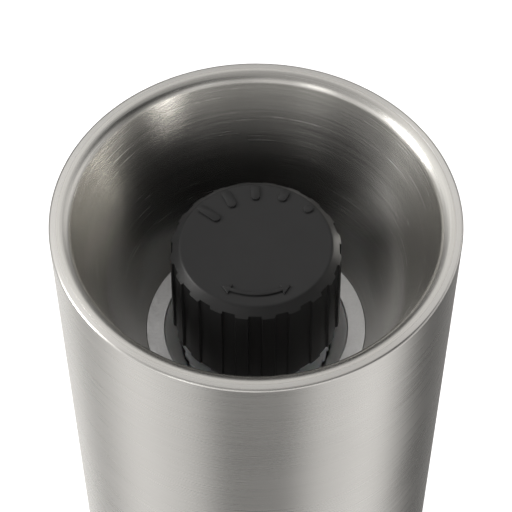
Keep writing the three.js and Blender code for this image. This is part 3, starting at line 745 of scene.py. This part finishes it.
def battery_cap():
    def shape(angle, radius, z):
        at_lug = radius > 26.9 and LUG_BOTTOM_Z < z < LUG_TOP_Z and near_lug(angle, 0, LUG_HALF)
        return LUG_R if at_lug else radius

    hole = BUTTON_HOLE_R
    profile = [
        (hole, 2.6), (hole + 0.2, 2.4), (11.2, 2.4), (13.9, 0.55), (14.1, 0.5), (22.2, 0.5),
        (22.4, 0.9), (23.6, 0.9), (23.8, 0.5), (CAP_R - 0.2, 0.5), (CAP_R, 0.7), (CAP_R, 1.2),
        (CAP_R, 1.3), (CAP_R, 2.8), (27.4, 3.25), (27.4, 3.5), (27.4, 9.3), (27.2, 9.5),
        (25.8, 9.5), (25.8, 2.9), (14.6, 2.9), (11.6, 5.5), (hole, 5.5),
    ]
    mesh = turned(profile, lug_angles(0, LUG_HALF), shape)
    piece = finished(mesh, "battery_cap_shell", "cap", "case_plastic", "battery_cap")
    corners = ((25.9, 0), (24.5, -3.0), (24.5, 3.0))
    outlines = [
        [tuple(place(r, 60 + 120 * k + a, 0).xy / MM) for r, a in corners] for k in range(LUGS)
    ]
    combine(piece, merged(slab(outline, 0.2, 0.75) for outline in outlines), "DIFFERENCE")


def push_button():
    z = low("push_button")
    profile = [
        (0, z + 0.25), (5.5, z + 0.1), (8.3, z), *arc(8.6, z + 0.4, 0.4, -90, 0, 6), (9, 5.8),
        (10.4, 5.8), (10.4, 6.8), (2, 6.8), (2, 8), (0, 8),
    ]
    mesh = turned(held(profile, closed=False), 144)
    finished(mesh, "push_button_cap", "button", "sleeve_steel", "push_button")


head_sleeve()
battery_cap()
push_button()

# ------------------------------------------------------ head: deck, seal, socket and screws


GROOVE_R = 28.5
GROOVE_HALF = 0.9
SEAL_R = 29.4                   # middle of the O-ring's wire
SEAL_WIRE_R = 0.6
SCREWS = 3
SCREW_CIRCLE_R = 13.2
SCREW_HOLE_R = 1.5
SCREW_HEAD_HEIGHT = 1.6
BURR_SPRING_ROOM = 0.25         # by which it stops short of the CAD spring, for the burr's travel


def seal_middle():
    lowest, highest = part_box("o_ring")
    return (lowest.z + highest.z) / 2 / MM


def head_deck():
    top, foot = high("head_deck"), low("head_deck")
    outer = reach("head_deck")
    seal = seal_middle()
    profile = [
        (7, top - 2), (27.4, top - 2), (27.4, foot), (outer, foot), (outer, seal - GROOVE_HALF),
        (GROOVE_R, seal - GROOVE_HALF), (GROOVE_R, seal + GROOVE_HALF),
        (outer, seal + GROOVE_HALF), (outer, top - EDGE),
        *arc(outer - EDGE, top - EDGE, EDGE, 0, 90, 6), (20.5, top), (20.3, top - 0.4),
        (19.3, top - 0.4), (19.1, top), (7.2, top), (7, top - 0.2),
    ]
    mesh = turned(held(profile))
    piece = finished(mesh, "head_deck_disc", "head", "case_plastic", "head_deck")
    holes = []
    for k in range(SCREWS):
        middle = place(SCREW_CIRCLE_R, 150 - 120 * k, 0) / MM
        profile = [(0, top - 3), (SCREW_HOLE_R, top - 3), (SCREW_HOLE_R, top + 1), (0, top + 1)]
        hole = turned(profile, 32, centre=middle.xy)
        bmesh.ops.recalc_face_normals(hole, faces=hole.faces)
        holes.append(hole)
    combine(piece, merged(holes), "DIFFERENCE")


def o_ring():
    mesh = turned(arc(SEAL_R, seal_middle(), SEAL_WIRE_R, 0, 345, 23))
    finished(mesh, "seal_ring", "head", "rubber", "o_ring")


def screw_heads():
    """Pan heads with a cross recess, over the shanks that hold the deck to the gearbox."""
    for k in range(SCREWS):
        node = f"deck_screw_{k + 1}"
        lowest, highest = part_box(node)
        middle = (lowest + highest) / 2 / MM
        top, tip = highest.z / MM, lowest.z / MM
        seat = top - SCREW_HEAD_HEIGHT
        profile = [
            (0, tip), (0.9, tip + 0.5), (1.2, tip + 1), (1.2, seat), (2.6, seat),
            (2.7, seat + 0.1), (2.7, seat + 0.5), (2.5, seat + 1.05), (2.0, seat + 1.4),
            (1.2, top - 0.03), (0, top),
        ]
        mesh = turned(profile, SMALL_STEPS, centre=middle.xy)
        piece = finished(mesh, f"{node}_piece", "head", "dark_steel", node)
        for turn in (0, 90):
            cutter = bmesh.new()
            bmesh.ops.create_cube(cutter, size=1.0)
            shape = Matrix.Diagonal((2.9 * MM, 0.5 * MM, 1.8 * MM, 1.0))
            spot = Matrix.Translation(Vector((*middle.xy, top)) * MM)
            aim = Matrix.Rotation(math.radians(30 + 40 * k + turn), 4, "Z")
            bmesh.ops.transform(cutter, matrix=spot @ aim @ shape, verts=cutter.verts)
            combine(piece, cutter, "DIFFERENCE")


def coil(name, node, body, top, turns, wire):
    """A compression spring, wound closer at its ends: a round wire from the CAD spring's foot up
    to top."""
    radius = reach(node) - wire
    bottom = low(node) + wire
    sides, per_turn = 8, 28
    count = per_turn * turns
    mesh = bmesh.new()
    rings = []
    for i in range(count + 1):
        share = i / count
        rise = smoothstep(0.0, 1.0, share) * 0.4 + share * 0.6
        z = bottom + (top - wire - bottom) * rise
        angle = 360 * turns * share
        ring = []
        for k in range(sides):
            turn = math.tau * k / sides
            point = place(radius + wire * math.cos(turn), angle, z + wire * math.sin(turn))
            ring.append(mesh.verts.new(point))
        rings.append(ring)
    for lower, upper in zip(rings, rings[1:]):
        for k in range(sides):
            j = (k + 1) % sides
            mesh.faces.new((lower[k], lower[j], upper[j], upper[k]))
    mesh.faces.new(rings[0])
    mesh.faces.new(rings[-1])
    return finished(mesh, name, body, "dark_steel", node)


def springs():
    """The button's spring, which gets a mesh of its own, and the burr's, which keeps its length."""
    bottom, top = low("button_spring"), high("button_spring")
    button_spring = coil("button_spring_coil", "button_spring", "button", top, 5, 0.3)
    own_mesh(button_spring)
    top = high("burr_spring") - BURR_SPRING_ROOM
    coil("burr_spring_coil", "burr_spring", "shaft", top, 9, 0.5)


head_deck()
o_ring()
screw_heads()
springs()

# ------------------------------------------------------ the CAD pieces that stay


def corner(vert):
    """A vertex's place to a micrometre, the same for all that stand there."""
    return tuple(round(c, 6) for c in vert.co)


def dress_cad_nodes():
    """Gives every CAD piece its slot's material, and smooth round faces with sharp edges between
    them to each that still shows."""
    slots = {part["node"]: part["material_slot"] for part in frame["record"]["subparts"]}
    for name, piece in frame["nodes"].items():
        piece.data.materials.clear()
        piece.data.materials.append(materials[slots[name]])
        if piece.hide_render:
            continue
        mesh = bmesh.new()
        mesh.from_mesh(piece.data)
        bmesh.ops.remove_doubles(mesh, verts=mesh.verts, dist=1e-6)
        sharp = {
            frozenset(corner(v) for v in edge.verts) for edge in mesh.edges
            if len(edge.link_faces) != 2 or edge.calc_face_angle() > SHARP
        }
        mesh.free()
        for face in piece.data.polygons:
            face.use_smooth = True
        attributes = piece.data.attributes
        marks = attributes.get("sharp_edge") or attributes.new("sharp_edge", "BOOLEAN", "EDGE")
        corners = [corner(v) for v in piece.data.vertices]
        for edge, mark in zip(piece.data.edges, marks.data):
            mark.value = frozenset(corners[i] for i in edge.vertices) in sharp


dress_cad_nodes()

# ------------------------------------------------------ light, floor and camera

# The room's light in rings, one above the other: the elevation where a ring ends and the next one
# begins, then its strengths. Each stands at an azimuth in degrees from -Y towards +X, and eases
# into the next. They were fitted to the brightness of the photograph.
RINGS = (
    (-23, {
        -165: 0.71, -135: 1.09, -105: 0.27, -75: 1.13, -45: 0.78, -15: 0.25,
        15: 0.27, 45: 0.81, 75: 1.18, 105: 0, 135: 0.26, 165: 0.3,
    }),
    (7, {
        -165: 0, -135: 0.05, -105: 0.36, -75: 0.57, -45: 1.18, -15: 1.28,
        15: 1.18, 45: 1.18, 75: 0.66, 105: 0.6, 135: 0.12, 165: 0,
    }),
    (37, {
        -170: 0, -150: 0.21, -130: 0.71, -110: 1.29, -90: 1.31, -70: 1.3, -50: 0.93, -30: 0.89,
        -10: 0.92, 10: 0.69, 30: 0.93, 50: 0.56, 70: 0.25, 90: 0.66, 110: 1.05, 130: 0.96,
        150: 0.28, 170: 0.01,
    }),
    (63, {
        -165: 1.13, -135: 1.36, -105: 0.93, -75: 0.59, -45: 0.51, -15: 0.32,
        15: 0.1, 45: 0, 75: 0, 105: 0, 135: 0.51, 165: 0.99,
    }),
)
RING_EDGE = 6                   # half the angle over which two rings blend
# Small bright boxes in it: azimuth, elevation, half width, half height and strength.
BOXES = {"key": (-92, 28, 10, 12, 16.0), "counter": (-33, 24, 8, 8, 2.0)}
BOX_EDGE = 5
ZENITH = 0.47                   # strength above the last ring
ROOM_COLOR = (1.0, 0.985, 0.965, 1.0)
WHITE = (1.0, 1.0, 1.0, 1.0)


def ring_light(tree, turn, strengths):
    """Light along one ring. turn is the azimuth as a share of the circle, from -180 degrees."""
    ramp = new_node(tree, "ShaderNodeValToRGB", {0: turn})
    ramp.color_ramp.interpolation = "EASE"
    stops = sorted(strengths.items())
    seam = (stops[0][1] + stops[-1][1]) / 2
    stops = [(-180, seam), *stops, (180, seam)]
    elements = ramp.color_ramp.elements
    while len(elements) < len(stops):
        elements.new(0.5)
    for element, (azimuth, strength) in zip(elements, stops):
        element.position = (azimuth + 180) / 360
        element.color = (strength, strength, strength, 1.0)
    return ramp.outputs["Color"]


def soft_step(tree, value, middle, half, first, last):
    """Goes from first to last, within half a band of degrees to either side of the middle."""
    start, end = math.radians(middle - half), math.radians(middle + half)
    return map_range(tree, value, start, end, first, last, "SMOOTHSTEP")


def box_light(tree, azimuth, elevation, middle, height, half_width, half_height, strength):
    """Strength inside a soft-edged box of directions, and 0 outside it."""
    shares = []
    for value, centre, half in ((azimuth, middle, half_width), (elevation, height, half_height)):
        offset = math_node(tree, "SUBTRACT", value, math.radians(centre))
        offset = math_node(tree, "ABSOLUTE", offset)
        shares.append(soft_step(tree, offset, half, BOX_EDGE, 1.0, 0.0))
    return math_node(tree, "MULTIPLY", math_node(tree, "MULTIPLY", *shares), strength)


def studio():
    """The world: rings of soft light, and plain white where the camera looks past the floor."""
    world = bpy.data.worlds.new("studio")
    bpy.context.scene.world = world
    world.use_nodes = True
    tree = world.node_tree
    tree.nodes.clear()
    direction = new_node(tree, "ShaderNodeTexCoord").outputs["Generated"]
    x, y, z = new_node(tree, "ShaderNodeSeparateXYZ", {0: direction}).outputs
    azimuth = math_node(tree, "ARCTAN2", x, math_node(tree, "MULTIPLY", y, -1.0))
    turn = math_node(tree, "MULTIPLY_ADD", azimuth, 1 / math.tau, 0.5)
    elevation = math_node(tree, "ARCSINE", z)
    light = math_node(tree, "ADD", ZENITH, 0.0)
    for top, strengths in reversed(RINGS):
        above = soft_step(tree, elevation, top, RING_EDGE, 0.0, 1.0)
        ring = ring_light(tree, turn, strengths)
        light = new_node(tree, "ShaderNodeMix", {0: above, 2: ring, 3: light}).outputs[0]
    for box in BOXES.values():
        light = math_node(tree, "ADD", light, box_light(tree, azimuth, elevation, *box))
    room = new_node(tree, "ShaderNodeBackground", {"Color": ROOM_COLOR, "Strength": light})
    white = new_node(tree, "ShaderNodeBackground", {"Color": WHITE, "Strength": 1.0})
    seen = new_node(tree, "ShaderNodeLightPath").outputs["Is Camera Ray"]
    inputs = {0: seen, 1: room.outputs[0], 2: white.outputs[0]}
    mix = new_node(tree, "ShaderNodeMixShader", inputs)
    output = new_node(tree, "ShaderNodeOutputWorld")
    tree.links.new(mix.outputs[0], output.inputs[0])


FLOOR_HALF = 4.0                # metres
FLOOR_GLOW = 0.55


def floor():
    """A large pale floor that glows a little. The steel mirrors the room instead of it."""
    mesh = bmesh.new()
    bmesh.ops.create_grid(mesh, x_segments=8, y_segments=8, size=FLOOR_HALF)
    data = bpy.data.meshes.new("floor")
    mesh.to_mesh(data)
    mesh.free()
    piece = bpy.data.objects.new("floor", data)
    bpy.context.scene.collection.objects.link(piece)
    material, tree, shader, coordinates = new_material("floor_white")
    patches = noise(tree, coordinates, (6, 6, 6), 3)
    mottled = shade(tree, patches, (0.86, 0.86, 0.86), 0.99, 1.01)
    tree.links.new(mottled, shader.inputs["Base Color"])
    tree.links.new(spread(tree, patches, 0.7, 0.8), shader.inputs["Roughness"])
    shader.inputs["Specular IOR Level"].default_value = 0.1
    shader.inputs["Emission Color"].default_value = WHITE
    shader.inputs["Emission Strength"].default_value = FLOOR_GLOW
    data.materials.append(material)
    piece.visible_glossy = False


LENS = 128.9                    # millimetres, on a sensor of 36
CAMERA_BACK = 5.427             # from the middle of the rim, in radii of the body
CAMERA_ABOVE = 6.985
CAMERA_TILT = 36.59             # degrees from straight down


def camera():
    """Looks down into the bell from in front, at the distance and angle of a product photograph."""
    data = bpy.data.cameras.new("camera")
    data.sensor_width = 36.0
    data.lens = LENS
    data.clip_start = 0.01
    data.clip_end = 20.0
    view = bpy.data.objects.new("camera", data)
    bpy.context.scene.collection.objects.link(view)
    view.location = Vector((0, -CAMERA_BACK * BODY_R, RIM_Z + CAMERA_ABOVE * BODY_R)) * MM
    view.rotation_euler = (math.radians(CAMERA_TILT), 0, 0)
    bpy.context.scene.camera = view


studio()
floor()
camera()
bpy.context.scene.view_settings.view_transform = "Standard"
